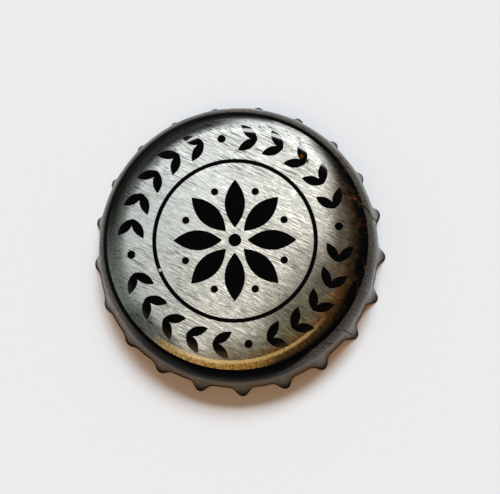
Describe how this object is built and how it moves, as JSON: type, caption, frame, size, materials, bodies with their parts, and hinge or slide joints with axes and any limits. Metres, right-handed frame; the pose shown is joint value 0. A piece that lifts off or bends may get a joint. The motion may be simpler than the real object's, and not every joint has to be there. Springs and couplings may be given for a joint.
{
  "type": "bottle cap",
  "caption": "Used crown cap for a bottle: domed tinplate panel with a rounded shoulder and a fluted, toothed skirt, and a moulded sealing liner inside.",
  "frame": {"origin": "on the cap's axis at the height of the tooth tips, which stand on z = 0", "axes": "+Z along the cap's axis, out of the panel; +X and +Y lie in the plane of the tooth tips"},
  "size_m": [0.0289, 0.0289, 0.006],
  "materials": {
    "shell": "brushed tinplate under clear lacquer, printed in black, satin grey skirt, light rust at scratches and on the cut edge",
    "liner": "moulded polyethylene compound, matt"
  },
  "bodies": {
    "root": {"crown_shell": "shell", "sealing_liner": "liner"}
  },
  "joints": []
}
